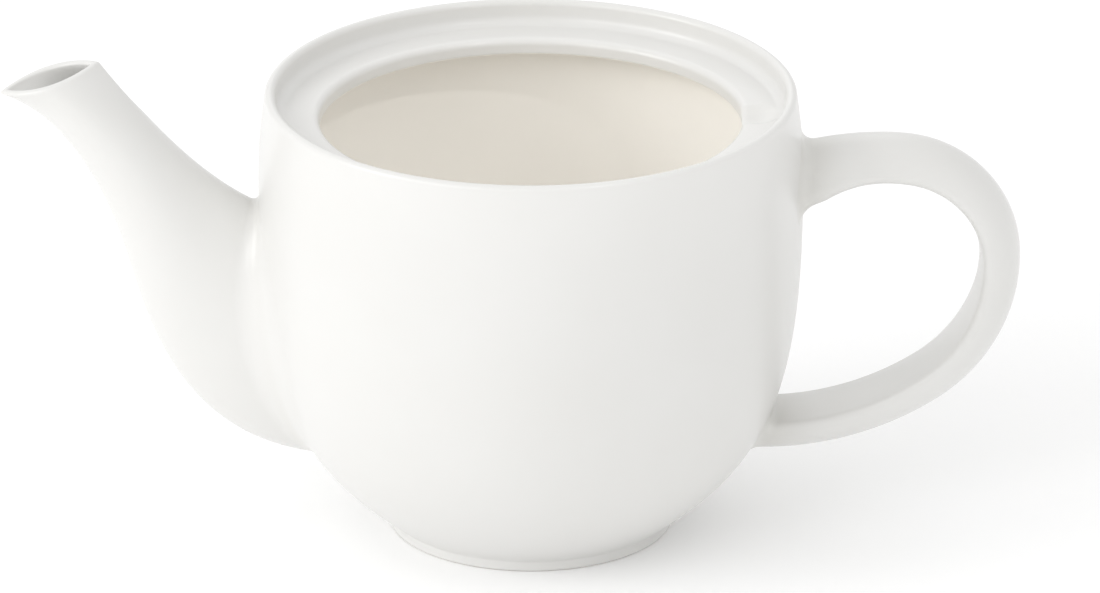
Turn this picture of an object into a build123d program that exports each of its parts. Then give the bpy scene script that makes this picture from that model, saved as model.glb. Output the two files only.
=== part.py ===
from build123d import *

import os
from math import cos, radians, sin, sqrt

# A small porcelain teapot without its lid or basket, in millimetres.
# Origin: centre of the foot ring, on the plane it stands on. +Z up, the spout
# points along -X and the handle along +X. The members are cast separately and
# luted together with slip before firing.

# ---- pot body: outer form --------------------------------------------------
body_radius = 54.5          # widest radius of the body
body_height = 92.2          # foot plane to rim crest
belly_height = 70.2         # height of the widest circle
belly_lower_pull = 42.6     # how far the lower curve stays near the widest radius
belly_upper_pull = 10.5     # the same above the widest circle
underside_slope = 36.8      # degrees, where the belly leaves the foot
underside_pull = 23.4
rim_inset = 1.3             # rim's outside, in from the widest circle
rim_pull = 10.2
rim_lean = 7.3              # degrees from upright, where the wall reaches the rim

# ---- pot body: walls, gallery and foot -------------------------------------
wall = 3.4
floor_thickness = 3.4
floor_flat_radius = 12.0
floor_corner_inset = 4.4    # how far the floor's curve stays inside the outer one
rim_width = 2.2             # rim's outside to the bore that the lid drops into
gallery_depth = 5.0         # rim crest down to the ledge
gallery_cove = 2.0
ledge_width = 8.8           # that bore to the hole inside the ledge
flange_thickness = 3.4
lip_round = 1.4
lip_under_round = 0.6
undercut_round = 1.8
foot_inset = 25.9           # foot ring's outside, in from the widest circle
foot_ring_width = 3.2
foot_height = 2.2
foot_recess = 1.8
foot_round = 0.5
foot_cove = 0.7

# ---- lid catch: a groove across the ledge on the handle side ---------------
catch_depth = 2.2
catch_width = 9.6
catch_stop = 1.6            # outer end of the groove to the bore for the lid

# ---- strainer: holes pierced in the wall behind the spout -------------------
strainer_hole_radius = 2.1
strainer_pitch = 7.4
strainer_rows = (2, 3, 2, 3, 2)

# ---- spout ------------------------------------------------------------------
spout_wall_root = 3.0
spout_wall_mouth = 1.9
spout_half_width_root = 14.0
spout_half_width_mouth = 6.5
spout_low_reach = -14.5     # start of the belly line, out from the widest circle
spout_low_height = 14.5
spout_low_pull = (29.5, 1.7)
spout_knee_reach = 26.5     # where the belly line turns from bulging to hollow
spout_knee_height = 57.8
spout_knee_lean = 15.5      # degrees from upright
spout_knee_pull_low = 17.3
spout_knee_pull_high = 16.0
spout_tip_reach = 51.5      # front of the mouth
spout_tip_height = 91.9
spout_tip_pull = (12.2, 3.4)
spout_high_reach = -6.5     # start of the back line
spout_high_height = 65.3
spout_high_pull = (15.0, 4.9)
spout_throat_reach = 31.2   # back of the mouth
spout_throat_height = 98.6
spout_throat_pull = (12.4, 16.3)
spout_fill = 0.55           # fullness of the width between root and mouth
# place along the belly line, 0 to 2 over its two curves, and along the back line
spout_stations = (
    (0.0, 0.0),
    (0.33, 0.16),
    (0.66, 0.33),
    (1.0, 0.52),
    (1.3, 0.67),
    (1.65, 0.85),
    (2.0, 1.0),
)

# ---- handle -----------------------------------------------------------------
handle_half_width = 8.65
handle_inner_crown = 3.65   # centre line to the crown of the inner face
handle_outer_crown = 4.5    # centre line to the crown of the outer face
handle_edge_inset = 0.8     # how far the long edges lie below the inner crown
handle_edge_round = 1.3
handle_top_drop = 16.6      # rim crest down to the start of the centre line
handle_top_gap = 3.0        # start of the centre line to the widest circle
handle_rise = 22.4          # degrees, heading of the centre line at its start
handle_arcs = ((34.7, 31.0), (20.8, 80.3), (32.0, 57.4), (58.7, 33.7))
handle_tail = 9.0           # straight run inside the body at each end
handle_steps = 16           # sections along the bends
root_flare = 0.3            # extra thickness of the upper root at the body
root_flare_width = 0.12
root_flare_length = 14.0

# ---- slip joints ------------------------------------------------------------
slip_thickness = 0.4
slip_bead = 0.35            # how far the wiped bead stands out round the member

# ---- radii that follow from the sizes above ---------------------------------
rim_radius = body_radius - rim_inset
gallery_radius = rim_radius - rim_width
opening_radius = gallery_radius - ledge_width
foot_radius = body_radius - foot_inset


def point_at(points, t):
    """Point of the cubic Bezier curve with these four (r, z) points."""
    a, b, c, d = points
    s = 1 - t
    weights = (s**3, 3 * s * s * t, 3 * s * t * t, t**3)
    return tuple(sum(w * p[i] for w, p in zip(weights, (a, b, c, d))) for i in (0, 1))


def outer_curves(grow=0.0):
    """Control points of the lower and upper curve of the body's outside."""
    lean = radians(rim_lean)
    slope = radians(underside_slope)
    foot_edge = (foot_radius + grow, foot_height)
    under = (
        foot_edge[0] + underside_pull * cos(slope),
        foot_edge[1] + underside_pull * sin(slope),
    )
    widest = body_radius + grow
    low = (widest, belly_height - belly_lower_pull)
    belly = (widest, belly_height)
    high = (widest, belly_height + belly_upper_pull)
    rim = (rim_radius + grow, body_height - rim_width / 2)
    shoulder = (rim[0] + rim_pull * sin(lean), rim[1] - rim_pull * cos(lean))
    return (foot_edge, under, low, belly), (belly, high, shoulder, rim)


def radius_at(height):
    """Outer radius of the body at a height on its side."""
    for curve in outer_curves():
        if curve[0][1] <= height <= curve[3][1]:
            low, high = 0.0, 1.0
            for _ in range(40):
                middle = (low + high) / 2
                if point_at(curve, middle)[1] < height:
                    low = middle
                else:
                    high = middle
            return point_at(curve, low)[0]
    raise ValueError(f"height {height} is off the side of the body")


def turned(edges):
    """Solid of revolution from (r, z) edges that close on the axis."""
    profile = make_face(edges)
    return revolve(Plane.XZ * profile, axis=Axis.Z)


def blank(grow=0.0):
    """The body's outer form as one solid, its side grown by a thickness."""
    lower, upper = outer_curves(grow)
    foot_edge, rim = lower[0], upper[3]
    edges = [
        Line((0, 0), (foot_edge[0], 0)),
        Line((foot_edge[0], 0), foot_edge),
        Bezier(*lower),
        Bezier(*upper),
        Line(rim, (rim[0], body_height + grow)),
        Line((rim[0], body_height + grow), (0, body_height + grow)),
        Line((0, body_height + grow), (0, 0)),
    ]
    return turned(edges)


def rounded(path_points, radii):
    """Open chain of lines through these points, with an arc at each inner point."""
    return FilletPolyline(*path_points, radius=radii)


def strainer_centres():
    """(y, z) of each strainer hole, in staggered rows centred on the spout's root."""
    row_step = strainer_pitch * sqrt(3) / 2
    middle = (spout_low_height + spout_high_height) / 2
    lowest = middle - row_step * (len(strainer_rows) - 1) / 2
    centres = []
    for row, count in enumerate(strainer_rows):
        for column in range(count):
            across = (column - (count - 1) / 2) * strainer_pitch
            centres.append((across, lowest + row * row_step))
    return centres


def make_pot_body():
    lower, upper = outer_curves()
    foot_edge, rim = lower[0], upper[3]
    ledge = body_height - gallery_depth
    underside = ledge - flange_thickness
    floor = foot_recess + floor_thickness
    inside = body_radius - wall
    foot_inside = foot_radius - foot_ring_width
    rim_inner = (gallery_radius, rim[1])
    gallery = rounded(
        [
            rim_inner,
            (gallery_radius, ledge),
            (opening_radius, ledge),
            (opening_radius, underside),
            (inside, underside),
            (inside, belly_height),
        ],
        [gallery_cove, lip_round, lip_under_round, undercut_round],
    )
    bowl = Bezier(
        (inside, belly_height),
        (inside, lower[2][1] + wall / 2),
        (lower[1][0] - floor_corner_inset, floor),
        (floor_flat_radius, floor),
    )
    foot = rounded(
        [
            (0, foot_recess),
            (foot_inside, foot_recess),
            (foot_inside, 0),
            (foot_radius, 0),
            foot_edge,
        ],
        [foot_cove, foot_round, foot_round],
    )
    edges = [
        foot,
        Bezier(*lower),
        Bezier(*upper),
        ThreePointArc(rim, ((rim[0] + rim_inner[0]) / 2, body_height), rim_inner),
        gallery,
        bowl,
        Line((floor_flat_radius, floor), (0, floor)),
        Line((0, floor), (0, foot_recess)),
    ]
    body = turned(edges)
    body -= catch_cutter(ledge)
    for across, height in strainer_centres():
        middle = -radius_at(height) + wall / 2
        drill = Cylinder(strainer_hole_radius, 6 * wall, rotation=(0, 90, 0))
        body -= Pos(middle, across, height) * drill
    return body


def catch_cutter(ledge):
    """Round-bottomed groove along +X with a ball end, sunk into the ledge."""
    half = catch_width / 2
    cutter_radius = (half**2 + catch_depth**2) / (2 * catch_depth)
    centre_height = ledge - catch_depth + cutter_radius
    ball_place = gallery_radius - catch_stop - half
    inner_end = opening_radius - 2 * lip_round
    length = ball_place - inner_end
    groove = Cylinder(cutter_radius, length, rotation=(0, 90, 0))
    ball = Sphere(cutter_radius)
    centre = Pos((ball_place + inner_end) / 2, 0, centre_height)
    cutter = centre * groove + Pos(ball_place, 0, centre_height) * ball
    clear_rim = Pos(0, 0, centre_height) * Cylinder(
        gallery_radius - gallery_cove / 2, 2 * cutter_radius
    )
    return cutter & clear_rim


def spout_lines():
    """Control points of the spout's belly line, lower and upper, and its back line."""
    low = (-body_radius - spout_low_reach, spout_low_height)
    knee = (-body_radius - spout_knee_reach, spout_knee_height)
    tip = (-body_radius - spout_tip_reach, spout_tip_height)
    high = (-body_radius - spout_high_reach, spout_high_height)
    throat = (-body_radius - spout_throat_reach, spout_throat_height)
    lean = (-sin(radians(spout_knee_lean)), cos(radians(spout_knee_lean)))
    before_knee = [knee[i] - spout_knee_pull_low * lean[i] for i in (0, 1)]
    after_knee = [knee[i] + spout_knee_pull_high * lean[i] for i in (0, 1)]
    belly_low = (low, (low[0] - spout_low_pull[0], low[1] + spout_low_pull[1]), before_knee, knee)
    belly_high = (knee, after_knee, (tip[0] + spout_tip_pull[0], tip[1] - spout_tip_pull[1]), tip)
    back = (
        high,
        (high[0] - spout_high_pull[0], high[1] + spout_high_pull[1]),
        (throat[0] + spout_throat_pull[0], throat[1] - spout_throat_pull[1]),
        throat,
    )
    return belly_low, belly_high, back


def spout_ribs():
    """Belly point, back point and share of the way from root to mouth."""
    belly_low, belly_high, back = spout_lines()
    ribs = []
    for on_belly, on_back in spout_stations:
        if on_belly <= 1:
            low = point_at(belly_low, on_belly)
        else:
            low = point_at(belly_high, on_belly - 1)
        ribs.append((low, point_at(back, on_back), on_belly / 2))
    return ribs


def ellipse_between(low, high, half_width, inset):
    """Ellipse across the plane y = 0 between two of its points, set in by a wall."""
    low, high = Vector(low[0], 0, low[1]), Vector(high[0], 0, high[1])
    along = (high - low).normalized()
    facing = along.cross(Vector(0, 1, 0))
    place = Plane(origin=(low + high) * 0.5, x_dir=along, z_dir=facing)
    return place * Ellipse((high - low).length / 2 - inset, half_width - inset)


def spout_form(inset_root, inset_mouth):
    """Smooth solid through the spout's ellipses, set in by a wall that tapers."""
    sections = []
    for low, high, share in spout_ribs():
        taper = share ** (1 / (1 + spout_fill))
        half = spout_half_width_root
        half += (spout_half_width_mouth - spout_half_width_root) * taper
        inset = inset_root + (inset_mouth - inset_root) * share
        sections.append(ellipse_between(low, high, half, inset))
    return loft(sections)


def make_spout(outside):
    outer = spout_form(0.0, 0.0)
    channel = spout_form(spout_wall_root, spout_wall_mouth)
    return outer - channel - outside


def make_spout_slip(core, outside):
    outer = spout_form(-slip_bead, -slip_bead)
    channel = spout_form(spout_wall_root, spout_wall_mouth)
    return (outer - channel) & (outside - core)


def handle_stations():
    """(x, z), heading in degrees and length from the start, along the centre line."""
    x, z = body_radius + handle_top_gap, body_height - handle_top_drop
    heading = handle_rise
    tail = handle_tail + handle_top_gap
    back = Vector(cos(radians(heading)), sin(radians(heading))) * -tail
    stations = [(x + back.X, z + back.Y, heading, -tail)]
    stations.append((x + back.X / 2, z + back.Y / 2, heading, -tail / 2))
    length = 0.0
    stations.append((x, z, heading, length))
    total = sum(sweep for _, sweep in handle_arcs)
    for arc_radius, sweep in handle_arcs:
        steps = max(2, round(handle_steps * sweep / total))
        turn = sweep / steps
        chord = 2 * arc_radius * sin(radians(turn / 2))
        for _ in range(steps):
            middle = radians(heading - turn / 2)
            x += chord * cos(middle)
            z += chord * sin(middle)
            heading -= turn
            length += arc_radius * radians(turn)
            stations.append((x, z, heading, length))
    last = radians(heading)
    for run in (handle_tail / 2, handle_tail):
        stations.append((x + run * cos(last), z + run * sin(last), heading, length + run))
    return stations


def strap_section(place, thicken, widen, grow):
    """The handle's section: a crowned inner face and a rounder outer one."""
    inner = handle_inner_crown * thicken + grow
    outer = handle_outer_crown * thicken + grow
    half = handle_half_width * widen + grow
    edge = inner - handle_edge_inset
    back = EllipticalCenterArc((edge, 0), edge + outer, half, 90, arc_size=180)
    front = ThreePointArc((edge, -half), (inner, 0), (edge, half))
    profile = make_face([back, front])
    profile = fillet(profile.vertices(), handle_edge_round)
    return place * profile


def handle_form(grow=0.0):
    sections = []
    for x, z, heading, length in handle_stations():
        angle = radians(heading)
        tangent = Vector(cos(angle), 0, sin(angle))
        inward = Vector(sin(angle), 0, -cos(angle))
        place = Plane(origin=(x, 0, z), x_dir=inward, z_dir=tangent)
        from_body = max(0.0, length + handle_top_gap)
        fade = max(0.0, 1 - from_body / root_flare_length) ** 2
        thicken = 1 + root_flare * fade
        widen = 1 + root_flare_width * fade
        sections.append(strap_section(place, thicken, widen, grow))
    return loft(sections)


def handle_halves(shape):
    """The two pieces of a shape at the handle's roots, upper one first."""
    pieces = sorted(shape.solids(), key=lambda s: s.center().Z)
    if len(pieces) < 2:
        raise ValueError("the handle meets the body in one place, not two")
    return pieces[-1], pieces[0]


def make_handle(outside):
    cut = handle_form() - outside
    return max(cut.solids(), key=lambda s: s.volume)


def make_handle_slips(core, outside):
    return handle_halves(handle_form(slip_bead) & (outside - core))


def main():
    os.makedirs("parts", exist_ok=True)
    core = blank()
    outside = blank(slip_thickness)
    upper_slip, lower_slip = make_handle_slips(core, outside)
    nodes = {
        "pot_body": make_pot_body(),
        "spout": make_spout(outside),
        "spout_slip_joint": make_spout_slip(core, outside),
        "handle": make_handle(outside),
        "handle_upper_slip_joint": upper_slip,
        "handle_lower_slip_joint": lower_slip,
    }
    for name, shape in nodes.items():
        export_step(shape, f"parts/{name}.step")
        size = shape.bounding_box().size
        print(
            f"{name}: {len(shape.solids())} solid, {shape.volume:.0f} mm3,"
            f" {size.X:.1f} x {size.Y:.1f} x {size.Z:.1f} mm"
        )


main()
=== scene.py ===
"""A white porcelain teapot: a turned body with its strainer, a luted spout and a strap handle.

Everything is in metres. The spout points along -X, the handle along +X and +Z is up.
"""

import math

import bpy
import numpy as np
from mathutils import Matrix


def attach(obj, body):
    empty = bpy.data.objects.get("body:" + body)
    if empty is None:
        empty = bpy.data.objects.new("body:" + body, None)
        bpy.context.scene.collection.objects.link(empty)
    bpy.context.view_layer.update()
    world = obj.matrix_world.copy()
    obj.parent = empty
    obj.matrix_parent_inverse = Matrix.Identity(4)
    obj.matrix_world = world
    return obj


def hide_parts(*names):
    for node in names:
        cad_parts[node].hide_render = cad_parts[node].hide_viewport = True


bl_info = {
    "name": "Porcelain Teapot",
    "version": (1, 0, 0),
    "blender": (4, 5, 0),
    "location": "View3D > Sidebar > Teapot",
    "description": "Builds a slip-cast porcelain teapot and the stage it stands on",
    "category": "Add Mesh",
}

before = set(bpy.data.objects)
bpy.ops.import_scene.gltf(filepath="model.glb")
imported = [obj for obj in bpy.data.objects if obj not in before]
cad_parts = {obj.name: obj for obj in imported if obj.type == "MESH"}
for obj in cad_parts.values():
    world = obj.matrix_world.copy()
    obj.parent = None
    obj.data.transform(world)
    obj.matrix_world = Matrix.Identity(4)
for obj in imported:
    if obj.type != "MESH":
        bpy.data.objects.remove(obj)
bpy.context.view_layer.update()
MM = 0.001

# ---- details that are the same on every pot of this make -------------------------

CORNER_HOLD = 0.25 * MM  # how close to a corner the last point of a straight run lies
BISECTIONS = 34  # halvings when a place on a line is looked for
FILLET_HOLD = 0.62  # how far a fillet keeps the direction of each of its ends
BURY_DEPTH = 1.2 * MM  # how deep a skin runs into the body's wall
FILLET_SINK = (0.15 * MM, 0.03 * MM)  # a fillet's edge: on past its end, and into the body
FOOT_ROUNDS = [0.7 * MM, 0.5 * MM, 0.5 * MM]  # recess corner, inner edge, outer edge
UNDER_LEDGE_ROUNDS = [0.6 * MM, 1.8 * MM]  # lower edge of the ledge, and the cove below it
BOWL_TURN = 4.4 * MM  # how far inside the belly's own turn the bowl turns to its floor
HOLE_CLEARANCE = 4 * MM  # widest circle to the middle of the drill, which passes the wall
DRILL_LENGTH = 24 * MM
GROOVE_EDGE = 0.25 * MM  # softness of the lid groove's edge
SPOUT_TAPER = 1 / 1.55  # power by which the spout narrows towards its mouth
POINT_START = 0.72  # share of the spout's length from which its section grows pointed
HANDLE_ARCS = ((34.7, 31.0), (20.8, 80.3), (32.0, 57.4), (58.7, 33.7))  # mm, degrees
RUN_ON = 12 * MM  # how far the strap runs on into the body at each end
FLARE_LENGTH = 14 * MM  # how far along the strap the upper root's flare fades out
FLARE_WIDTH = 0.12  # extra width of the upper root, as a share
SEAM_SHADE_SPREAD = 2.2 * MM  # spread of the painted shade round the seams of the body and spout
HANDLE_SHADE_SPREAD = 7.0 * MM  # the same at the handle's roots
BARE_HEIGHT = 0.12 * MM  # faces of the foot below this are bare clay


# ---- sizes and colours a user would change -----------------------------------


def length(name, millimetres, description):
    return bpy.props.FloatProperty(
        name=name,
        description=description,
        default=millimetres * MM,
        unit="LENGTH",
        subtype="DISTANCE",
        precision=5,
    )


def angle(name, degrees, description):
    return bpy.props.FloatProperty(
        name=name,
        description=description,
        default=math.radians(degrees),
        unit="ROTATION",
        subtype="ANGLE",
    )


def share(name, default, description):
    return bpy.props.FloatProperty(
        name=name, description=description, default=default, min=0.0, max=1.0, subtype="FACTOR"
    )


def colour(name, default, description):
    return bpy.props.FloatVectorProperty(
        name=name,
        description=description,
        default=default,
        size=3,
        min=0.0,
        max=1.0,
        subtype="COLOR",
    )


class TeapotBodySizes(bpy.types.PropertyGroup):
    """Sizes of the turned body, its gallery, its foot and its strainer."""

    radius: length("Radius", 54.5, "Widest radius of the body")
    height: length("Height", 92.2, "Foot to rim crest")
    belly_height: length("Belly height", 70.2, "Height of the widest circle")
    lower_pull: length("Lower pull", 42.6, "How far the lower curve keeps near the widest radius")
    upper_pull: length("Upper pull", 10.5, "The same above the widest circle")
    foot_slope: angle("Foot slope", 36.8, "Slope of the belly where it leaves the foot")
    foot_pull: length("Foot pull", 23.4, "How far the belly keeps that slope")
    rim_radius: length("Rim radius", 53.2, "Outer radius at the rim")
    rim_lean: angle("Rim lean", 7.3, "Lean of the wall at the rim, from upright")
    rim_pull: length("Rim pull", 10.2, "How far the wall keeps that lean")
    wall: length("Wall", 3.4, "Thickness of the wall")
    floor: length("Floor", 5.2, "Height of the floor inside")
    floor_flat: length("Floor flat", 12.0, "Radius of the flat middle of the floor")
    gallery_radius: length("Gallery radius", 51.0, "Bore that the lid drops into")
    gallery_depth: length("Gallery depth", 5.0, "Rim crest down to the ledge")
    gallery_cove: length("Gallery cove", 2.0, "Hollow round between the gallery and the ledge")
    opening_radius: length("Opening radius", 42.2, "Hole inside the ledge")
    flange: length("Flange", 3.4, "Thickness of the ledge")
    lip_round: length("Lip round", 1.4, "Round on the upper edge of the opening")
    foot_radius: length("Foot radius", 28.6, "Outer radius of the foot ring")
    foot_height: length("Foot height", 2.2, "Height of the foot ring outside")
    foot_width: length("Foot width", 3.2, "Width of the foot ring")
    foot_recess: length("Foot recess", 1.8, "Depth of the hollow under the foot")
    catch_depth: length("Catch depth", 2.2, "Depth of the lid groove across the ledge")
    catch_width: length("Catch width", 9.6, "Width of the lid groove")
    catch_reach: length("Catch reach", 49.4, "How far out from the axis the lid groove runs")
    hole_radius: length("Hole radius", 2.1, "Radius of a strainer hole")
    hole_pitch: length("Hole pitch", 7.4, "Spacing of the strainer holes")
    hole_height: length("Hole height", 39.9, "Height of the middle of the strainer")
    segments: bpy.props.IntProperty(
        name="Segments", description="Facets round the body", default=336, min=48, max=512
    )


class TeapotSpoutSizes(bpy.types.PropertyGroup):
    """Sizes of the spout and of the blend that joins it to the body."""

    low_reach: length("Low reach", 40.0, "Start of the belly line, inside the body")
    low_height: length("Low height", 14.5, "Height of that start")
    low_pull_out: length("Low pull out", 29.5, "How far the belly line first runs outwards")
    low_pull_up: length("Low pull up", 1.7, "How far it rises meanwhile")
    knee_reach: length("Knee reach", 81.0, "Where the belly line turns from bulging to hollow")
    knee_height: length("Knee height", 57.8, "Height of that turn")
    knee_lean: angle("Knee lean", 15.5, "Lean of the belly line there, from upright")
    knee_pull_low: length("Knee pull below", 17.3, "How far it keeps that lean below the turn")
    knee_pull_high: length("Knee pull above", 16.0, "How far it keeps that lean above the turn")
    tip_reach: length("Tip reach", 105.8, "Axis of the pot to the tip of the mouth")
    tip_height: length("Tip height", 91.5, "Height of the tip")
    tip_pull_back: length("Tip pull back", 12.2, "How far back the belly line turns to the tip")
    tip_pull_down: length("Tip pull down", 3.9, "How far below the tip it does so")
    high_reach: length("High reach", 48.0, "Start of the back line, inside the body")
    high_height: length("High height", 65.3, "Height of that start")
    high_pull_out: length("High pull out", 15.0, "How far the back line first runs outwards")
    high_pull_up: length("High pull up", 4.9, "How far it rises meanwhile")
    throat_reach: length("Throat reach", 85.9, "Axis of the pot to the back of the mouth")
    throat_height: length("Throat height", 98.0, "Height of the back of the mouth")
    throat_pull_in: length("Throat pull in", 12.2, "How far in the back line turns upwards")
    throat_pull_down: length("Throat pull down", 16.1, "How far below the throat it does so")
    root_width: length("Root width", 14.0, "Half the width where the spout leaves the body")
    mouth_width: length("Mouth width", 6.7, "Half the width of the mouth")
    root_wall: length("Root wall", 3.0, "Thickness of the wall at the root")
    mouth_wall: length("Mouth wall", 1.9, "Thickness of the wall at the mouth")
    lip_rise: length("Lip rise", 0.6, "How far the mouth's lip is crowned")
    point: share("Point", 0.85, "How pointed the mouth is at its tip and throat")
    blend_edge: length("Blend at the edges", 2.0, "Reach of the blend above and below")
    blend_side: length("Blend at the sides", 9.0, "Reach of the blend at the sides")


class TeapotHandleSizes(bpy.types.PropertyGroup):
    """Sizes of the strap handle and of the blends at its roots."""

    half_width: length("Half width", 8.65, "Half the width of the strap")
    inner_crown: length("Inner crown", 3.65, "Centre line to the crown of the inner face")
    outer_crown: length("Outer crown", 4.5, "Centre line to the crown of the outer face")
    edge_inset: length("Edge inset", 0.8, "How far the long edges lie below the inner crown")
    edge_round: length("Edge round", 1.6, "Reach of the round on the long edges")
    start_gap: length("Start gap", 3.0, "Start of the centre line to the widest circle")
    start_height: length("Start height", 75.6, "Height of the start of the centre line")
    rise: angle("Rise", 22.4, "Heading of the centre line at its start")
    blend_upper: length("Upper blend", 3.2, "Reach of the blend at the upper root")
    blend_lower: length("Lower blend", 2.6, "Reach of the blend at the lower root")
    flare: share("Flare", 0.3, "Extra thickness of the upper root")


class TeapotGlaze(bpy.types.PropertyGroup):
    """Colours and finish of the glaze and of the bare foot, with the painted shade at the seams and
    the painted light in the bowl.
    """

    white: colour("White", (0.745, 0.74, 0.722), "Colour of the glaze")
    # painted light: brighter and warmer than the white outside, standing in for the light that
    # glows through the thin wall and bounces round the bowl
    inside: colour("Inside", (0.98, 0.955, 0.905), "Colour of the glaze inside the bowl")
    # painted shade: the darker glaze that the seams' painted shade darkens towards; the random
    # cloud of the glaze tints towards it too
    shade_and_mottle: colour("Pooled", (0.68, 0.67, 0.635), "Colour of the glaze where it lies thick")
    bisque: colour("Bisque", (0.62, 0.59, 0.54), "Colour of the bare clay under the foot")
    roughness: share("Roughness", 0.34, "Roughness of the glaze")


class TeapotStage(bpy.types.PropertyGroup):
    """The camera and the lights."""

    distance: length("Camera distance", 2500.0, "Camera to the point that it looks at")
    pitch: angle("Camera pitch", 21.91, "How far the camera looks down")
    lens: bpy.props.FloatProperty(
        name="Lens", description="Focal length of the camera in millimetres", default=407.42
    )
    sky: bpy.props.FloatProperty(
        name="Sky", description="Strength of the even light from all round", default=0.91
    )


# ---- curves -------------------------------------------------------------------


def bezier(points, t):
    """Points of a cubic Bezier curve at the places t."""
    a, b, c, d = (np.asarray(p, float) for p in points)
    t = np.asarray(t, float)[..., None]
    s = 1 - t
    return s**3 * a + 3 * s * s * t * b + 3 * s * t * t * c + t**3 * d


def unit(vectors):
    return vectors / np.maximum(np.linalg.norm(vectors, axis=-1, keepdims=True), 1e-12)


def smooth_step(x):
    x = np.clip(x, 0.0, 1.0)
    return x * x * (3 - 2 * x)


def run(start, end, count):
    """Places along a straight run, with one close to each end to hold the corner's round."""
    hold = min(CORNER_HOLD, 0.2 * math.dist(start, end))
    far = hold / math.dist(start, end)
    places = np.concatenate([[far], np.linspace(0, 1, count + 2)[1:-1], [1 - far]])
    return [tuple(np.asarray(start) + p * (np.asarray(end) - np.asarray(start))) for p in places]


def rounded_path(corners, reaches, counts, steps):
    """Corner points joined by straight runs, each inner corner turned by an arc.

    reaches: the arc's radius at each inner corner. counts: points on each run.
    """
    corners = [np.asarray(c, float) for c in corners]
    arcs = []
    for before, corner, after, radius in zip(corners, corners[1:], corners[2:], reaches):
        into, away = unit(corner - before), unit(after - corner)
        turn = math.acos(float(np.clip(np.dot(into, away), -1, 1)))
        back = radius * math.tan(turn / 2)
        enter, leave = corner - into * back, corner + away * back
        side = 1.0 if into[0] * away[1] - into[1] * away[0] > 0 else -1.0
        centre = enter + side * radius * np.array([-into[1], into[0]])
        spoke = enter - centre
        arc = []
        for k in range(steps + 1):
            a = side * turn * k / steps
            arc.append(
                (
                    centre[0] + spoke[0] * math.cos(a) - spoke[1] * math.sin(a),
                    centre[1] + spoke[0] * math.sin(a) + spoke[1] * math.cos(a),
                )
            )
        arcs.append((enter, leave, arc))
    path = [tuple(corners[0])]
    here = corners[0]
    for (enter, leave, arc), count in zip(arcs, counts):
        path += run(here, enter, count) + arc
        here = leave
    path += run(here, corners[-1], counts[-1])
    path.append(tuple(corners[-1]))
    return path


# ---- the body's outer form ------------------------------------------------------


def outer_curves(body):
    """Control points (r, z) of the lower and the upper curve of the body's outside."""
    rim_round = (body.rim_radius - body.gallery_radius) / 2
    foot_edge = np.array([body.foot_radius, body.foot_height])
    under = foot_edge + body.foot_pull * np.array(
        [math.cos(body.foot_slope), math.sin(body.foot_slope)]
    )
    low = (body.radius, body.belly_height - body.lower_pull)
    belly = (body.radius, body.belly_height)
    high = (body.radius, body.belly_height + body.upper_pull)
    rim = (body.rim_radius, body.height - rim_round)
    shoulder = (
        rim[0] + body.rim_pull * math.sin(body.rim_lean),
        rim[1] - body.rim_pull * math.cos(body.rim_lean),
    )
    return (foot_edge, under, low, belly), (belly, high, shoulder, rim)


class Side:
    """The body's outside, for finding where the spout and the handle meet it."""

    def __init__(self, body):
        lower, upper = outer_curves(body)
        places = np.linspace(0, 1, 500)
        self.profile = np.concatenate([bezier(lower, places), bezier(upper, places)[1:]])
        along = unit(np.gradient(self.profile, axis=0))
        self.outward = np.stack([along[:, 1], -along[:, 0]], axis=1)

    def nearest(self, points):
        """(signed distance, nearest point, outward normal) for each point."""
        points = np.asarray(points, float)
        flat = points.reshape(-1, 3)
        around = np.hypot(flat[:, 0], flat[:, 1])
        spoke = flat[:, :2] / np.maximum(around, 1e-12)[:, None]
        place = np.stack([around, flat[:, 2]], axis=1)
        pick = np.empty(len(flat), int)
        for start in range(0, len(flat), 4000):
            part = place[start : start + 4000]
            gaps = ((part[:, None, :] - self.profile[None]) ** 2).sum(-1)
            pick[start : start + 4000] = gaps.argmin(1)
        normal = self.outward[pick]
        offset = ((place - self.profile[pick]) * normal).sum(1)
        foot = place - offset[:, None] * normal
        shape = points.shape
        on_side = np.concatenate([spoke * foot[:, :1], foot[:, 1:]], axis=1).reshape(shape)
        out = np.concatenate([spoke * normal[:, :1], normal[:, 1:]], axis=1).reshape(shape)
        return offset.reshape(shape[:-1]), on_side, out


def meeting(side, surface, lows, highs):
    """Where each line of a surface comes out of the body, between two places on it."""
    lows, highs = np.array(lows, float), np.array(highs, float)
    for _ in range(BISECTIONS):
        middle = (lows + highs) / 2
        outside = side.nearest(surface(middle))[0] > 0
        highs = np.where(outside, middle, highs)
        lows = np.where(outside, lows, middle)
    return (lows + highs) / 2


def away_from(surface, start, reaches, direction):
    """Places on each line of a surface that lie a reach away from its start."""
    origin = surface(start)
    near, far = np.zeros_like(start), np.full_like(start, 0.4)
    for _ in range(BISECTIONS):
        middle = (near + far) / 2
        gone = np.linalg.norm(surface(start + direction * middle) - origin, axis=-1)
        far = np.where(gone > reaches, middle, far)
        near = np.where(gone > reaches, near, middle)
    return start + direction * near


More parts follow.
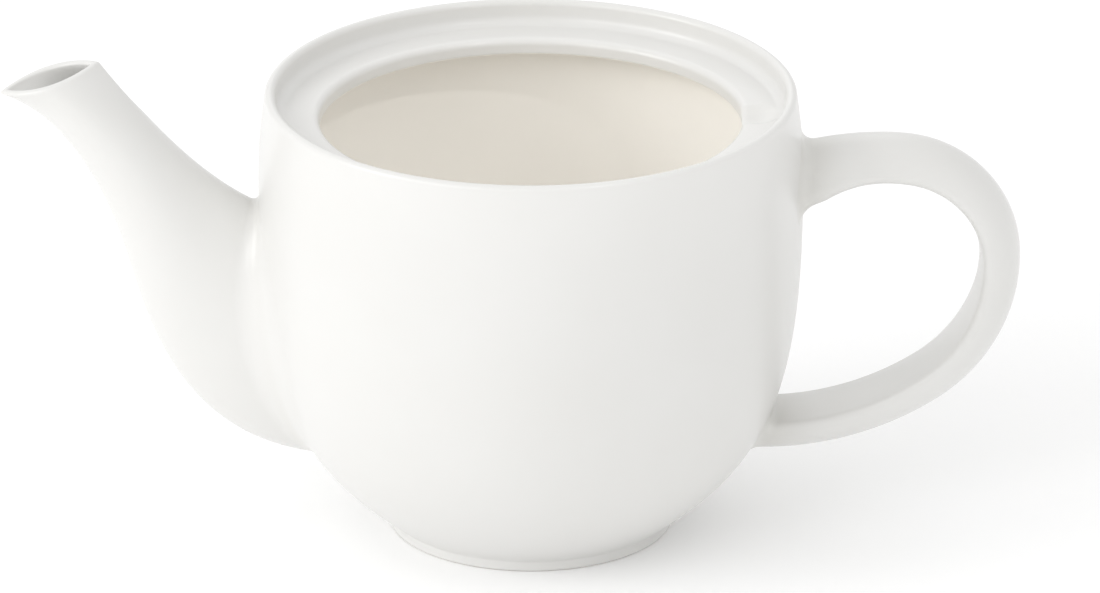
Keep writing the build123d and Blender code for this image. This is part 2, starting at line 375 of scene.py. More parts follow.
def blend(side, surface, hits, reaches, direction, steps):
    """Rings of a fair fillet from a surface to the body, and where it starts.

    The first ring lies on the surface and the last on the body. Both ends are tangent.
    """
    starts = away_from(surface, hits, reaches, direction)
    corner = surface(hits)
    top = surface(starts)
    into = unit(surface(starts - direction * 1e-4) - top)
    _, corner, normal = side.nearest(corner)
    along = unit(np.roll(corner, -1, axis=0) - np.roll(corner, 1, axis=0))
    out = unit(np.cross(along, normal))
    if ((corner - corner.mean(axis=0)) * out).sum() < 0:
        out = -out
    _, bottom, low_normal = side.nearest(corner + out * reaches[:, None])
    back = corner - bottom
    back = unit(back - (back * low_normal).sum(-1, keepdims=True) * low_normal)
    a = np.linalg.norm(corner - top, axis=-1, keepdims=True) * FILLET_HOLD
    b = np.linalg.norm(corner - bottom, axis=-1, keepdims=True) * FILLET_HOLD
    handles = (top, top + into * a, bottom + back * b, bottom)
    places = smooth_step(np.linspace(0, 1, steps + 1)) * 0.4 + np.linspace(0, 1, steps + 1) * 0.6
    rings = [bezier(handles, np.full(len(top), p)) for p in places]
    sunk = bottom - back * FILLET_SINK[0] - low_normal * FILLET_SINK[1]
    buried = side.nearest(corner)[1] - normal * BURY_DEPTH
    return starts, rings + [sunk, buried]


# ---- meshes ---------------------------------------------------------------------


def skin(name, rings, ends):
    """Closed mesh from rings of points. ends is 'joined' or 'capped'."""
    count, around = len(rings), len(rings[0])
    points = np.concatenate(rings)
    faces = []
    last = count if ends == "joined" else count - 1
    for i in range(last):
        a, b = i * around, (i + 1) % count * around
        for j in range(around):
            k = (j + 1) % around
            faces.append((a + j, a + k, b + k, b + j))
    if ends == "capped":
        for ring, turned in ((0, True), (count - 1, False)):
            hub = len(points)
            points = np.concatenate([points, rings[ring].mean(axis=0)[None]])
            for j in range(around):
                edge = (ring * around + j, ring * around + (j + 1) % around)
                faces.append((hub, *(edge[::-1] if turned else edge)))
    mesh = bpy.data.meshes.new(name)
    mesh.from_pydata([tuple(p) for p in points], [], faces)
    mesh.validate()
    return mesh


def mesh_points(mesh):
    points = np.empty(len(mesh.vertices) * 3)
    mesh.vertices.foreach_get("co", points)
    return points.reshape(-1, 3)


def store(mesh, name, values):
    """Stores one number a point under a name that the glaze reads."""
    layer = mesh.attributes.new(name, "FLOAT", "POINT")
    layer.data.foreach_set("value", values.astype(np.float32))


def face_outwards(mesh):
    """Turns a closed mesh the right way out, from the sign of its volume."""
    mesh.calc_loop_triangles()
    points = mesh_points(mesh)
    corners = np.empty(len(mesh.loop_triangles) * 3, int)
    mesh.loop_triangles.foreach_get("vertices", corners)
    a, b, c = (points[corners.reshape(-1, 3)[:, i]] for i in range(3))
    if (a * np.cross(b, c)).sum() < 0:
        mesh.flip_normals()


def place_mesh(name, mesh, materials):
    """Shows a mesh as a finished piece at the origin."""
    mesh.shade_smooth()
    for material in materials:
        mesh.materials.append(material)
    piece = bpy.data.objects.new(name, mesh)
    bpy.context.scene.collection.objects.link(piece)
    return piece


def mark_inside(mesh, body):
    """Marks the inner surface of the bowl, below the ledge."""
    points = mesh_points(mesh)
    lower, upper = outer_curves(body)
    profile = np.concatenate([bezier(c, np.linspace(0, 1, 200)) for c in (lower, upper)])
    around = np.hypot(points[:, 0], points[:, 1])
    outer = np.interp(points[:, 2], profile[:, 1], profile[:, 0])
    under_ledge = body.height - body.gallery_depth - body.flange + 0.3 * MM
    above_foot = points[:, 2] > (body.floor + body.foot_recess) / 2
    inner = (around < outer - body.wall / 2) & (points[:, 2] < under_ledge) & above_foot
    store(mesh, "inside", inner)


def mark_seam_shade(mesh, seams, spread):
    """Stores a painted shade for each point, strongest on the seams and fading away from them."""
    points = mesh_points(mesh)
    gap = np.full(len(points), 1.0)
    for start in range(0, len(points), 4000):
        part = points[start : start + 4000]
        near = ((part[:, None, :] - seams[None]) ** 2).sum(-1).min(1)
        gap[start : start + 4000] = np.sqrt(near)
    # painted shade: full on a seam, fading with the distance from it
    store(mesh, "seam_shade", np.exp(-((gap / spread) ** 2)))


# ---- node trees -------------------------------------------------------------------


class Tree:
    """Adds and links nodes in one tree."""

    def __init__(self, tree):
        self.tree = tree
        self.column = 0

    def add(self, kind, settings=None, **inputs):
        node = self.tree.nodes.new(kind)
        self.column += 1
        node.location = (self.column * 180, -(self.column % 4) * 160)
        for key, value in (settings or {}).items():
            setattr(node, key, value)
        for key, value in inputs.items():
            slot = node.inputs[int(key[1:])] if key[0] == "i" and key[1:].isdigit() else None
            slot = slot or node.inputs[key.replace("_", " ")]
            self.feed(slot, value)
        return node

    def feed(self, slot, value):
        if isinstance(value, bpy.types.NodeSocket):
            self.tree.links.new(value, slot)
        elif isinstance(value, bpy.types.Node):
            self.tree.links.new(value.outputs[0], slot)
        else:
            slot.default_value = value

    def mix(self, factor, first, second):
        """Mixes two colours, each given as a value or a socket."""
        node = self.add("ShaderNodeMix", {"data_type": "RGBA"})
        self.feed(node.inputs["Factor"], factor)
        ends = [slot for slot in node.inputs if slot.type == "RGBA"]
        self.feed(ends[0], first)
        self.feed(ends[1], second)
        return next(slot for slot in node.outputs if slot.type == "RGBA")

    def math(self, operation, *values):
        node = self.add("ShaderNodeMath", {"operation": operation})
        for slot, value in zip(node.inputs, values):
            self.feed(slot, value)
        return node.outputs[0]


def new_group(name, kind, inputs, outputs):
    """A node tree with named inputs and outputs, as a Tree with both end nodes."""
    group = bpy.data.node_groups.new(name, kind)
    for label, socket in inputs:
        group.interface.new_socket(label, in_out="INPUT", socket_type=socket)
    for label, socket in outputs:
        group.interface.new_socket(label, in_out="OUTPUT", socket_type=socket)
    tree = Tree(group)
    return tree, tree.add("NodeGroupInput"), tree.add("NodeGroupOutput")


def turned_body_tree():
    """Geometry nodes that turn a profile about Z and pierce the strainer in it."""
    tree, given, result = new_group(
        "Turned Body",
        "GeometryNodeTree",
        [
            ("Profile", "NodeSocketGeometry"),
            ("Segments", "NodeSocketInt"),
            ("Crowding", "NodeSocketFloat"),
            ("Wall Reach", "NodeSocketFloat"),
            ("Hole Radius", "NodeSocketFloat"),
            ("Hole Pitch", "NodeSocketFloat"),
            ("Hole Height", "NodeSocketFloat"),
            ("Material", "NodeSocketMaterial"),
        ],
        [("Geometry", "NodeSocketGeometry")],
    )
    size = tree.add("GeometryNodeAttributeDomainSize", i0=given.outputs["Profile"])
    count = size.outputs["Point Count"]
    columns = tree.math("ADD", given.outputs["Segments"], 1)
    grid = tree.add("GeometryNodeMeshGrid", Vertices_X=columns, Vertices_Y=count)
    index = tree.add("GeometryNodeInputIndex")
    row = tree.math("MODULO", index.outputs[0], count)
    column = tree.math("FLOOR", tree.math("DIVIDE", tree.math("ADD", index.outputs[0], 0.5), count))
    turn = tree.math("DIVIDE", column, given.outputs["Segments"])
    full = tree.math("MULTIPLY", turn, 2 * math.pi)
    crowd = tree.math("MULTIPLY", tree.math("SINE", full), given.outputs["Crowding"])
    around = tree.math("SUBTRACT", full, crowd)
    position = tree.add("GeometryNodeInputPosition")
    sample = tree.add(
        "GeometryNodeSampleIndex",
        {"data_type": "FLOAT_VECTOR", "domain": "POINT"},
        Geometry=given.outputs["Profile"],
        Value=position,
        Index=row,
    )
    parts = tree.add("ShaderNodeSeparateXYZ", i0=sample.outputs[0])
    place = tree.add("ShaderNodeCombineXYZ")
    for axis, wave in (("X", "COSINE"), ("Y", "SINE")):
        reach = tree.math("MULTIPLY", parts.outputs["X"], tree.math(wave, around))
        tree.feed(place.inputs[axis], reach)
    tree.feed(place.inputs["Z"], parts.outputs["Z"])
    turned = tree.add("GeometryNodeSetPosition", Geometry=grid.outputs["Mesh"], Position=place)
    closed = tree.add("GeometryNodeMergeByDistance", Geometry=turned, Distance=1e-6)

    # the strainer: five staggered rows, each second one with three holes
    dots = tree.add("GeometryNodePoints", Count=15)
    number = tree.add("GeometryNodeInputIndex").outputs[0]
    line = tree.math("FLOOR", tree.math("DIVIDE", tree.math("ADD", number, 0.5), 3))
    spot = tree.math("SUBTRACT", number, tree.math("MULTIPLY", line, 3))
    wide = tree.math("MODULO", line, 2)
    shift = tree.math("MULTIPLY_ADD", wide, 0.5, 0.5)
    across = tree.math("MULTIPLY", tree.math("SUBTRACT", spot, shift), given.outputs["Hole Pitch"])
    step = tree.math("MULTIPLY", given.outputs["Hole Pitch"], math.sqrt(3) / 2)
    rise = tree.math("MULTIPLY", tree.math("SUBTRACT", line, 2), step)
    behind = tree.math("MULTIPLY", given.outputs["Wall Reach"], -1)
    above = tree.math("ADD", rise, given.outputs["Hole Height"])
    spot_place = tree.add("ShaderNodeCombineXYZ", X=behind, Y=across, Z=above)
    kept = tree.math("LESS_THAN", spot, tree.math("ADD", wide, 1.5))
    spots = tree.add("GeometryNodeSetPosition", i0=dots, Position=spot_place)
    drill = tree.add("GeometryNodeMeshCylinder", Vertices=28, Radius=given.outputs["Hole Radius"])
    drill.inputs["Depth"].default_value = DRILL_LENGTH
    drills = tree.add(
        "GeometryNodeInstanceOnPoints",
        Points=spots,
        Selection=kept,
        Instance=drill.outputs["Mesh"],
        Rotation=(0, math.pi / 2, 0),
    )
    cutters = tree.add("GeometryNodeRealizeInstances", i0=drills)
    cutting = {"operation": "DIFFERENCE", "solver": "EXACT"}
    pierced = tree.add("GeometryNodeMeshBoolean", cutting, Mesh_1=closed, Mesh_2=cutters)
    whole = tree.add("GeometryNodeRealizeInstances", i0=pierced.outputs["Mesh"])
    painted = tree.add(
        "GeometryNodeSetMaterial", Geometry=whole, Material=given.outputs["Material"]
    )
    tree.feed(result.inputs[0], painted)
    return tree.tree


def apply_tree(name, source, tree, values):
    """Runs a geometry tree on a mesh and returns what it makes as a plain mesh."""
    carrier = bpy.data.objects.new(name + ".source", source)
    bpy.context.scene.collection.objects.link(carrier)
    modifier = carrier.modifiers.new("Build", "NODES")
    modifier.node_group = tree
    named = {item.name: item.identifier for item in tree.interface.items_tree}
    for label, value in values.items():
        modifier[named[label]] = value
    carrier.update_tag()
    graph = bpy.context.evaluated_depsgraph_get()
    mesh = bpy.data.meshes.new_from_object(carrier.evaluated_get(graph))
    mesh.name = name
    carrier.modifiers.remove(modifier)
    bpy.data.objects.remove(carrier)
    if not mesh.vertices:
        raise RuntimeError(f"the tree for {name} made nothing")
    return mesh


# ---- materials ----------------------------------------------------------------------


def glaze_group():
    """Shader group: how the glaze varies over a surface, and its faint ripple."""
    name = "Glaze Variation"
    if name in bpy.data.node_groups:
        return bpy.data.node_groups[name]
    tree, given, result = new_group(
        name,
        "ShaderNodeTree",
        [
            ("Vector", "NodeSocketVector"),
            ("Cloud Scale", "NodeSocketFloat"),
            ("Ripple Scale", "NodeSocketFloat"),
            ("Ripple Strength", "NodeSocketFloat"),
        ],
        [
            ("Cloud", "NodeSocketFloat"),
            ("Fine", "NodeSocketFloat"),
            ("Normal", "NodeSocketVector"),
        ],
    )
    vector = given.outputs["Vector"]
    cloud = tree.add("ShaderNodeTexNoise", Vector=vector, Scale=given.outputs["Cloud Scale"])
    cloud.inputs["Detail"].default_value = 3.0
    fine = tree.add("ShaderNodeTexNoise", Vector=vector, Scale=given.outputs["Ripple Scale"])
    fine.inputs["Detail"].default_value = 2.0
    height = tree.math("MULTIPLY_ADD", fine.outputs["Fac"], 0.35, cloud.outputs["Fac"])
    bump = tree.add("ShaderNodeBump", Height=height, Strength=given.outputs["Ripple Strength"])
    bump.inputs["Distance"].default_value = 0.1 * MM
    tree.feed(result.inputs["Cloud"], cloud.outputs["Fac"])
    tree.feed(result.inputs["Fine"], fine.outputs["Fac"])
    tree.feed(result.inputs["Normal"], bump.outputs["Normal"])
    return tree.tree


def new_material(name):
    """A new material, its tree and its shader."""
    material = bpy.data.materials.new(name)
    material.use_nodes = True
    return material, Tree(material.node_tree), material.node_tree.nodes["Principled BSDF"]


def glaze_material(name, glaze):
    """Satin glaze: white, darker along the seams with painted shade, and warmer and brighter in the
    bowl with painted light.
    """
    if name in bpy.data.materials:
        return bpy.data.materials[name]
    material, tree, shader = new_material(name)
    where = tree.add("ShaderNodeTexCoord")
    varied = tree.add("ShaderNodeGroup", {"node_tree": glaze_group()})
    tree.feed(varied.inputs["Vector"], where.outputs["Object"])
    varied.inputs["Cloud Scale"].default_value = 34.0
    varied.inputs["Ripple Scale"].default_value = 420.0
    varied.inputs["Ripple Strength"].default_value = 0.12
    shade_and_mottle = tree.add("ShaderNodeAttribute", {"attribute_name": "seam_shade"})
    # painted shade at the seams and the glaze's random cloud both darken the white; the stronger of
    # the two is used
    cloud = tree.math("MULTIPLY_ADD", varied.outputs["Cloud"], 0.5, -0.18)
    thick = tree.math("MAXIMUM", tree.math("MULTIPLY", shade_and_mottle.outputs["Fac"], 0.75), cloud)
    outside = tree.mix(thick, (*glaze.white, 1.0), (*glaze.shade_and_mottle, 1.0))
    # painted light: the bowl's inside takes the brighter, warmer white
    inner = tree.add("ShaderNodeAttribute", {"attribute_name": "inside"})
    colour_with_painted_light_and_shade = tree.mix(inner.outputs["Fac"], outside, (*glaze.inside, 1.0))
    rough = tree.math("MULTIPLY_ADD", varied.outputs["Fine"], 0.05, glaze.roughness - 0.025)
    tree.feed(shader.inputs["Base Color"], colour_with_painted_light_and_shade)
    tree.feed(shader.inputs["Roughness"], rough)
    tree.feed(shader.inputs["Normal"], varied.outputs["Normal"])
    shader.inputs["IOR"].default_value = 1.46
    shader.inputs["Coat Weight"].default_value = 0.35
    shader.inputs["Coat Roughness"].default_value = 0.22
    return material


def bisque_material(name, glaze):
    """Bare fired clay, ground flat under the foot."""
    material, tree, shader = new_material(name)
    where = tree.add("ShaderNodeTexCoord")
    grain = tree.add("ShaderNodeTexNoise", Vector=where.outputs["Object"], Scale=1800.0)
    grain.inputs["Detail"].default_value = 4.0
    ramp = tree.add("ShaderNodeValToRGB", Fac=grain.outputs["Fac"])
    ramp.color_ramp.elements[0].position = 0.3
    ramp.color_ramp.elements[0].color = (*[c * 0.86 for c in glaze.bisque], 1.0)
    ramp.color_ramp.elements[1].position = 0.7
    ramp.color_ramp.elements[1].color = (*glaze.bisque, 1.0)
    bump = tree.add("ShaderNodeBump", Height=grain.outputs["Fac"], Strength=0.4)
    bump.inputs["Distance"].default_value = 0.08 * MM
    tree.feed(shader.inputs["Base Color"], ramp.outputs["Color"])
    tree.feed(shader.inputs["Normal"], bump.outputs["Normal"])
    shader.inputs["Roughness"].default_value = 0.88
    return material


def floor_material(name):
    """Plain pale sheet that glows a little, which keeps the shadow on it light."""
    material, _, shader = new_material(name)
    shader.inputs["Base Color"].default_value = (0.97, 0.97, 0.97, 1.0)
    shader.inputs["Roughness"].default_value = 0.9
    shader.inputs["Specular IOR Level"].default_value = 0.1
    shader.inputs["Emission Color"].default_value = (1.0, 1.0, 1.0, 1.0)
    shader.inputs["Emission Strength"].default_value = 0.065
    return material


# ---- the pieces' shapes -----------------------------------------------------------


def body_profile(body):
    """Closed profile (r, z) of the turned body, from the middle of the foot's hollow
    out over the belly, the rim and the ledge, and down inside to the middle of the floor."""
    lower, upper = outer_curves(body)
    rim = upper[3]
    ledge = body.height - body.gallery_depth
    underside = ledge - body.flange
    inside = body.radius - body.wall
    foot_inside = body.foot_radius - body.foot_width
    foot = rounded_path(
        [
            (0, body.foot_recess),
            (foot_inside, body.foot_recess),
            (foot_inside, 0),
            (body.foot_radius, 0),
            (body.foot_radius, body.foot_height),
        ],
        FOOT_ROUNDS,
        [4, 0, 1, 0],
        4,
    )
    belly = bezier(lower, np.linspace(0, 1, 54)[1:])
    shoulder = bezier(upper, np.linspace(0, 1, 18)[1:])
    middle = (rim[0] + body.gallery_radius) / 2
    half = (rim[0] - body.gallery_radius) / 2
    crest = [
        (middle + half * math.cos(a), rim[1] + half * math.sin(a))
        for a in np.linspace(0, math.pi, 13)[1:-1]
    ]
    gallery = rounded_path(
        [
            (body.gallery_radius, rim[1]),
            (body.gallery_radius, ledge),
            (body.opening_radius, ledge),
            (body.opening_radius, underside),
            (inside, underside),
            (inside, body.belly_height),
        ],
        [body.gallery_cove, body.lip_round, *UNDER_LEDGE_ROUNDS],
        [0, 11, 1, 2, 2],
        8,
    )
    bowl = bezier(
        (
            (inside, body.belly_height),
            (inside, lower[2][1] + body.wall / 2),
            (lower[1][0] - BOWL_TURN, body.floor),
            (body.floor_flat, body.floor),
        ),
        np.linspace(0, 1, 33)[1:],
    )
    floor = [(body.floor_flat * (1 - k / 4), body.floor) for k in (1, 2, 3, 4)]
    return foot + [*map(tuple, belly), *map(tuple, shoulder)] + crest + gallery + [
        *map(tuple, bowl)
    ] + floor


def press_catch(mesh, body):
    """Presses the lid's groove into the ledge on the handle side."""
    half = body.catch_width / 2
    tool = (half**2 + body.catch_depth**2) / (2 * body.catch_depth)
    ledge = body.height - body.gallery_depth
    lowest = ledge - body.flange + 0.6 * MM
    end = body.catch_reach - half
    points = mesh_points(mesh)
    beyond = np.maximum(points[:, 0] - end, 0)
    off = np.hypot(beyond, points[:, 1])
    reach = np.sqrt(np.maximum(tool**2 - off**2, 0)) - (tool - body.catch_depth)
    depth = GROOVE_EDGE * np.log1p(np.exp(np.clip(reach / GROOVE_EDGE, -40, 40)))
    height = np.clip((points[:, 2] - lowest) / (ledge - lowest), 0, 1)
    around = np.hypot(points[:, 0], points[:, 1])
    on_ledge = (points[:, 0] > 0) & (points[:, 2] < ledge + 1.5 * MM) & (
        around < body.gallery_radius + 0.05 * MM
    )
    points[:, 2] -= np.where(on_ledge & (points[:, 2] > lowest), depth * height, 0)
    mesh.vertices.foreach_set("co", points.ravel())
    mesh.update()


def spout_surface(spout):
    """The spout's outside as surface(places, angles, inset).

    places run from 0 inside the body to 1 at the mouth. An angle of 0 is the back and
    pi the belly.
    """
    low = (-spout.low_reach, spout.low_height)
    knee = np.array([-spout.knee_reach, spout.knee_height])
    lean = np.array([-math.sin(spout.knee_lean), math.cos(spout.knee_lean)])
    tip = (-spout.tip_reach, spout.tip_height)
    high = (-spout.high_reach, spout.high_height)
    throat = (-spout.throat_reach, spout.throat_height)
    belly_low = (
        low,
        (low[0] - spout.low_pull_out, low[1] + spout.low_pull_up),
        knee - spout.knee_pull_low * lean,
        knee,
    )
    belly_high = (
        knee,
        knee + spout.knee_pull_high * lean,
        (tip[0] + spout.tip_pull_back, tip[1] - spout.tip_pull_down),
        tip,
    )
    back = (
        high,
        (high[0] - spout.high_pull_out, high[1] + spout.high_pull_up),
        (throat[0] + spout.throat_pull_in, throat[1] - spout.throat_pull_down),
        throat,
    )

    def surface(places, angles, inset=None):
        places = np.asarray(places, float)
        first = bezier(belly_low, np.minimum(places * 2, 1))
        second = bezier(belly_high, np.maximum(places * 2 - 1, 0))
        belly = np.where((places < 0.5)[..., None], first, second)
        spine = bezier(back, places)
        middle = (belly + spine) / 2
        along = unit(spine - belly)
        long_half = np.linalg.norm(spine - belly, axis=-1) / 2
        taper = np.clip(places, 0, 1) ** SPOUT_TAPER
        wide_half = spout.root_width + (spout.mouth_width - spout.root_width) * taper
        if inset is not None:
            thick = spout.root_wall + (spout.mouth_wall - spout.root_wall) * places
            long_half = long_half - thick * inset
            wide_half = wide_half - thick * inset
        power = 1 + spout.point * smooth_step((places - POINT_START) / (1 - POINT_START))
        sine = np.sin(angles)
        across = wide_half * np.sign(sine) * np.abs(sine) ** power
        flat = middle + along * (long_half * np.cos(angles))[..., None]
        return np.stack([flat[..., 0], across, flat[..., 1]], axis=-1)

    return surface


def spout_rings(side, spout, around=160, outer=110, inner=50):
    """Rings of the spout's skin, and the line along which it meets the body."""
    surface = spout_surface(spout)
    angles = np.linspace(0, 2 * math.pi, around, endpoint=False)

    def outside(places):
        return surface(places, angles)

    def channel(places):
        return surface(places, angles, 1.0)

    hits = meeting(side, outside, np.zeros(around), np.full(around, 0.6))
    reaches = spout.blend_edge + (spout.blend_side - spout.blend_edge) * np.sin(angles) ** 2
    starts, fillet = blend(side, outside, hits, reaches, 1.0, 16)
    rings = [outside(starts + (1 - starts) * p) for p in np.linspace(1, 0, outer)]
    rings += fillet[1:]
    drain = meeting(side, channel, np.zeros(around), np.full(around, 0.6))
    _, drain_edge, drain_normal = side.nearest(channel(drain))
    rings.append(drain_edge - drain_normal * BURY_DEPTH)
    rings += [channel(drain + (1 - drain) * p) for p in np.linspace(0, 1, inner)]
    lip_in, lip_out = rings[-1], rings[0]
    rise, reach = spout.throat_height - spout.tip_height, spout.tip_reach - spout.throat_reach
    facing = unit(np.array([-rise, 0.0, reach]))
    for a in np.linspace(0, math.pi, 9)[1:-1]:
        mix = (1 - math.cos(a)) / 2
        rings.append(lip_in + (lip_out - lip_in) * mix + facing * spout.lip_rise * math.sin(a))
    return rings, side.nearest(outside(hits))[1]


def strap_section(handle, count):
    """Closed section of the strap: (towards the fingers, across) pairs."""
    edge = handle.inner_crown - handle.edge_inset
    half, deep = handle.half_width, edge + handle.outer_crown
    r = handle.edge_round
    slope = 2 * handle.edge_inset / half
    place = math.acos(min(1.0, r / deep))
    outer = np.linspace(math.pi - place, math.pi + place, count)
    outer = np.stack([edge + deep * np.cos(outer), half * np.sin(outer)], axis=1)
    y = np.linspace(-half + r, half - r, count // 2)
    inner = np.stack([edge + handle.edge_inset * (1 - (y / half) ** 2), y], axis=1)
    turns = []
    for start, end in ((outer[-1], inner[0]), (inner[-1], outer[0])):
        sign = -1.0 if start[1] < 0 else 1.0
        corner = np.array([edge + 0.25 * slope * r, sign * half * 0.995])
        t = np.linspace(0, 1, 9)[1:-1, None]
        turns.append((1 - t) ** 2 * start + 2 * t * (1 - t) * corner + t**2 * end)
    return np.concatenate([outer, turns[0], inner, turns[1]])


def handle_line(handle, body):
    """Sample points, headings and lengths along the handle's centre line."""
    x, z = body.radius + handle.start_gap, handle.start_height
    heading = handle.rise
    points, headings = [], []
    for k in range(12, 0, -1):
        back = RUN_ON * k / 12
        points.append((x - back * math.cos(heading), z - back * math.sin(heading)))
        headings.append(heading)
    points.append((x, z))
    headings.append(heading)
    for radius, sweep in HANDLE_ARCS:
        steps = 60
        turn = math.radians(sweep) / steps
        chord = 2 * radius * MM * math.sin(turn / 2)
        for _ in range(steps):
            x += chord * math.cos(heading - turn / 2)
            z += chord * math.sin(heading - turn / 2)
            heading -= turn
            points.append((x, z))
            headings.append(heading)
    for k in range(1, 13):
        further = RUN_ON * k / 12
        points.append((x + further * math.cos(heading), z + further * math.sin(heading)))
        headings.append(heading)
    points = np.array(points)
    lengths = np.concatenate([[0], np.cumsum(np.linalg.norm(np.diff(points, axis=0), axis=1))])
    # the headings step at each arc's end, so they are eased along the line
    headings = np.array(headings)
    even = np.linspace(0, lengths[-1], 600)
    spread = np.interp(even, lengths, headings)
    kernel = np.hanning(31)
    padded = np.concatenate([np.full(15, spread[0]), spread, np.full(15, spread[-1])])
    eased = np.convolve(padded, kernel / kernel.sum(), mode="valid")
    return points, lengths, np.interp(lengths, even, eased)


def handle_surface(handle, body, section):
    """The handle's skin as surface(lengths along it), one line for each section point."""
    points, lengths, headings = handle_line(handle, body)

    def surface(places):
        places = np.asarray(places, float)
        x = np.interp(places, lengths, points[:, 0])
        z = np.interp(places, lengths, points[:, 1])
        heading = np.interp(places, lengths, headings)
        fade = np.clip(1 - (places - RUN_ON) / FLARE_LENGTH, 0, 1) ** 2
        thick = 1 + handle.flare * fade
        wide = 1 + FLARE_WIDTH * fade
        inward = np.stack([np.sin(heading), np.zeros_like(heading), -np.cos(heading)], axis=-1)
        centre = np.stack([x, np.zeros_like(x), z], axis=-1)
        across = np.zeros_like(centre)
        across[..., 1] = section[:, 1] * wide
        return centre + inward * (section[:, 0] * thick)[..., None] + across

    return surface, lengths[-1]


def handle_rings(side, handle, body, along=230):
    """Rings of the handle's skin and the lines along which its roots meet the body."""
    section = strap_section(handle, 56)
    surface, total = handle_surface(handle, body, section)
    count = len(section)
    tops = meeting(side, surface, np.zeros(count), np.full(count, 40 * MM))

    def backwards(places):
        return surface(total - places)

    lows = meeting(side, backwards, np.zeros(count), np.full(count, 60 * MM))
    upper_reach = np.full(count, handle.blend_upper)
    lower_reach = np.full(count, handle.blend_lower)
    starts, upper = blend(side, surface, tops, upper_reach, 1.0, 12)
    ends, lower = blend(side, backwards, lows, lower_reach, 1.0, 12)
    finish = total - ends
    rings = upper[:0:-1]
    rings += [surface(starts + (finish - starts) * p) for p in np.linspace(0, 1, along)]
    rings += lower[1:]
    seams = [side.nearest(surface(tops))[1], side.nearest(backwards(lows))[1]]
    return rings, np.concatenate(seams)


def seam_points(scene):
    """Points along the lines where the painted shade gathers: the roots of the spout and the
    handle.
    """
    side = Side(scene.teapot_body)
    _, spout_seam = spout_rings(side, scene.teapot_spout, outer=2, inner=2)
    _, handle_seams = handle_rings(side, scene.teapot_handle, scene.teapot_body, along=2)
    return np.concatenate([spout_seam, handle_seams])


# ---- operators ------------------------------------------------------------------------


class TEAPOT_OT_body(bpy.types.Operator):
    """Turn the body, pierce its strainer and press the lid's groove"""

    bl_idname = "teapot.body"
    bl_label = "Body"

    def execute(self, context):
        scene = context.scene
        body, glaze = scene.teapot_body, scene.teapot_glaze
        profile = body_profile(body)
        source = bpy.data.meshes.new("body profile")
        edges = [(k, k + 1) for k in range(len(profile) - 1)]
        source.from_pydata([(r, 0.0, z) for r, z in profile], edges, [])
        white = glaze_material("Satin White Glaze", glaze)
        mesh = apply_tree(
            "pot_body_glazed",
            source,
            turned_body_tree(),
            {
                "Segments": body.segments,
                "Crowding": 0.55,
                "Wall Reach": body.radius - HOLE_CLEARANCE,
                "Hole Radius": body.hole_radius,
                "Hole Pitch": body.hole_pitch,
                "Hole Height": body.hole_height,
                "Material": white,
            },
        )
        press_catch(mesh, body)
        face_outwards(mesh)
        mark_seam_shade(mesh, seam_points(scene), SEAM_SHADE_SPREAD)
        mark_inside(mesh, body)
        mesh.materials.clear()
        bare = bisque_material("Bare Foot Clay", glaze)
        piece = place_mesh("pot_body_glazed", mesh, [white, bare])
        for face in mesh.polygons:
            under = face.center.z < BARE_HEIGHT
            face.material_index = 1 if under else 0
        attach(piece, "root")
        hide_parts("pot_body")
        return {"FINISHED"}


class TEAPOT_OT_spout(bpy.types.Operator):
    """Build the spout and the blend that lutes it to the body"""

    bl_idname = "teapot.spout"
    bl_label = "Spout"

    def execute(self, context):
        scene = context.scene
        rings, _ = spout_rings(Side(scene.teapot_body), scene.teapot_spout)
        mesh = skin("spout_luted", rings, "joined")
        face_outwards(mesh)
        mark_seam_shade(mesh, seam_points(scene), SEAM_SHADE_SPREAD)
        white = glaze_material("Satin White Glaze", scene.teapot_glaze)
        piece = place_mesh("spout_luted", mesh, [white])
        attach(piece, "root")
        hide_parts("spout", "spout_slip_joint")
        return {"FINISHED"}


class TEAPOT_OT_handle(bpy.types.Operator):
    """Sweep the strap handle and blend its roots into the body"""

    bl_idname = "teapot.handle"
    bl_label = "Handle"

    def execute(self, context):
        scene = context.scene
        body = scene.teapot_body
        rings, _ = handle_rings(Side(body), scene.teapot_handle, body)
        mesh = skin("handle_luted", rings, "capped")
        face_outwards(mesh)
        mark_seam_shade(mesh, seam_points(scene), HANDLE_SHADE_SPREAD)
        white = glaze_material("Satin White Glaze", scene.teapot_glaze)
        piece = place_mesh("handle_luted", mesh, [white])
        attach(piece, "root")
        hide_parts("handle", "handle_upper_slip_joint", "handle_lower_slip_joint")
        return {"FINISHED"}


def add_light(name, kind, place, target, size, power):
    """Adds a soft box or a spot light, aimed at a target."""
    data = bpy.data.lights.new(name, kind)
    if kind == "AREA":
        data.shape = "DISK"
        data.size = size
    else:
        data.shadow_soft_size = size / 2
    data.energy = power
    lamp = bpy.data.objects.new(name, data)
    lamp.location = place
    aim = np.asarray(target, float) - np.asarray(place, float)
    flat = math.hypot(aim[0], aim[1])
    lamp.rotation_euler = (math.atan2(flat, -aim[2]), 0.0, math.atan2(-aim[0], aim[1]))
    bpy.context.scene.collection.objects.link(lamp)
    return lamp


# name, place, width and power of each soft box, all aimed at the pot
POT_MIDDLE = (0.0, 0.0, 0.05)
SOFT_BOXES = (
    ("left", (-1.7, -0.6, 0.9), 1.0, 9.0),
    ("front left", (-1.3, -1.7, 1.2), 1.2, 7.0),
    ("back", (-0.3, 2.1, 1.3), 1.4, 1.6),
)
# a narrow spot on the opening, which lights the bowl alone
BOWL_SPOT = ("bowl", "SPOT", (0.5, -0.7, 1.08), (0.0, 0.0, 0.084), 0.06, 15.5)
BOWL_CONE = math.radians(3.2)
BOWL_FADE = 0.4
FLOOR_REACH = 4.0
CAMERA_TARGET = (3.83 * MM, 0.0, 47.91 * MM)


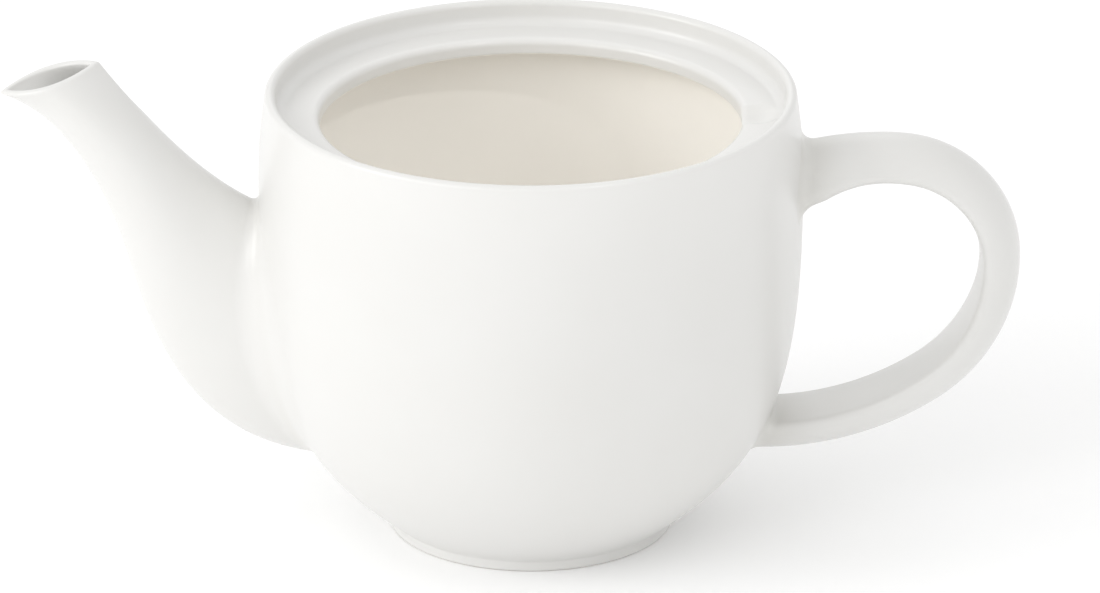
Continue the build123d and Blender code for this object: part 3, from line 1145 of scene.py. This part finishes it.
class TEAPOT_OT_stage(bpy.types.Operator):
    """Lay the floor, set the lights and place the camera"""

    bl_idname = "teapot.stage"
    bl_label = "Stage"

    def execute(self, context):
        scene = context.scene
        stage = scene.teapot_stage
        reach = FLOOR_REACH
        mesh = bpy.data.meshes.new("floor")
        mesh.from_pydata(
            [(-reach, -reach, 0), (reach, -reach, 0), (reach, reach, 0), (-reach, reach, 0)],
            [],
            [(0, 1, 2, 3)],
        )
        floor = bpy.data.objects.new("floor", mesh)
        mesh.materials.append(floor_material("Pale Sheet"))
        scene.collection.objects.link(floor)

        world = bpy.data.worlds.new("studio")
        world.use_nodes = True
        background = world.node_tree.nodes["Background"]
        background.inputs["Color"].default_value = (1.0, 1.0, 1.0, 1.0)
        background.inputs["Strength"].default_value = stage.sky
        scene.world = world
        for name, place, size, power in SOFT_BOXES:
            add_light(name, "AREA", place, POT_MIDDLE, size, power)
        bowl = add_light(*BOWL_SPOT)
        bowl.data.spot_size = BOWL_CONE
        bowl.data.spot_blend = BOWL_FADE

        camera = bpy.data.cameras.new("camera")
        camera.lens = stage.lens
        camera.sensor_width = 36.0
        camera.clip_end = 20.0
        eye = bpy.data.objects.new("camera", camera)
        centre = CAMERA_TARGET
        eye.location = (
            centre[0],
            centre[1] - stage.distance * math.cos(stage.pitch),
            centre[2] + stage.distance * math.sin(stage.pitch),
        )
        eye.rotation_euler = (math.pi / 2 - stage.pitch, 0.0, 0.0)
        scene.collection.objects.link(eye)
        scene.camera = eye
        scene.view_settings.view_transform = "Standard"
        return {"FINISHED"}


class TEAPOT_PT_panel(bpy.types.Panel):
    """Sizes, colours and build buttons"""

    bl_label = "Teapot"
    bl_idname = "TEAPOT_PT_panel"
    bl_space_type = "VIEW_3D"
    bl_region_type = "UI"
    bl_category = "Teapot"

    def draw(self, context):
        layout = self.layout
        for group, title in GROUPS:
            box = layout.box()
            box.label(text=title)
            settings = getattr(context.scene, group)
            for key in settings.__annotations__:
                box.prop(settings, key)
        for operator in OPERATORS:
            layout.operator(operator.bl_idname)


GROUPS = (
    ("teapot_body", "Body"),
    ("teapot_spout", "Spout"),
    ("teapot_handle", "Handle"),
    ("teapot_glaze", "Glaze"),
    ("teapot_stage", "Stage"),
)
SETTINGS = (TeapotBodySizes, TeapotSpoutSizes, TeapotHandleSizes, TeapotGlaze, TeapotStage)
OPERATORS = (TEAPOT_OT_body, TEAPOT_OT_spout, TEAPOT_OT_handle, TEAPOT_OT_stage)


def register():
    for kind in (*SETTINGS, *OPERATORS, TEAPOT_PT_panel):
        bpy.utils.register_class(kind)
    for (group, _), kind in zip(GROUPS, SETTINGS):
        setattr(bpy.types.Scene, group, bpy.props.PointerProperty(type=kind))


def unregister():
    for group, _ in GROUPS:
        delattr(bpy.types.Scene, group)
    for kind in reversed((*SETTINGS, *OPERATORS, TEAPOT_PT_panel)):
        bpy.utils.unregister_class(kind)


def main():
    register()
    bpy.ops.teapot.body()
    bpy.ops.teapot.spout()
    bpy.ops.teapot.handle()
    bpy.ops.teapot.stage()


if __name__ == "__main__":
    main()
